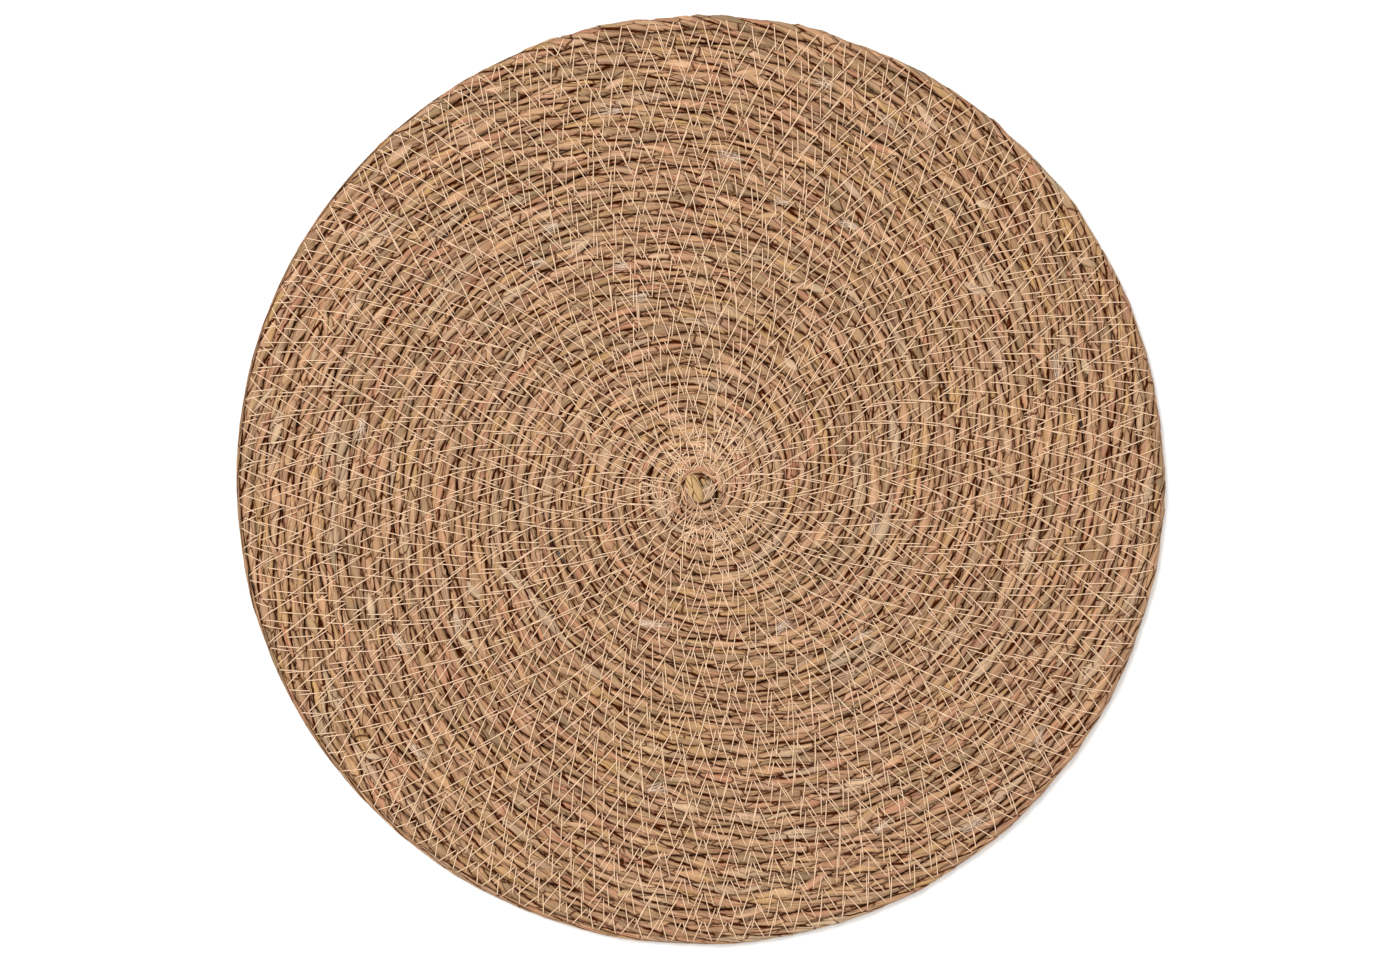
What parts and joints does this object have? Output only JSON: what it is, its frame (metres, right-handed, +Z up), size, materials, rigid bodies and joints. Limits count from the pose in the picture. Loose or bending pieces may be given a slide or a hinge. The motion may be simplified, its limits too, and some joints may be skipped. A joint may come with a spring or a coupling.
{
  "type": "coiled seagrass placemat",
  "caption": "Round flat placemat of twisted seagrass rope coiled in a spiral and sewn with zigzag stitches, with a rounded rim.",
  "frame": {"origin": "on the mat's axis, at the flat underside that lies on the table", "axes": "+Z up through the mat's thickness, +X and +Y in the plane of the mat"},
  "size_m": [0.38, 0.38, 0.0054],
  "materials": {
    "seagrass_rope": "dry twisted plant leaf, matt with a faint sheen along the fibres",
    "sewing_thread": "peach machine sewing thread, two-ply, with a soft silky sheen"
  },
  "bodies": {
    "root": {"coiled_mat": "seagrass_rope"}
  },
  "joints": []
}
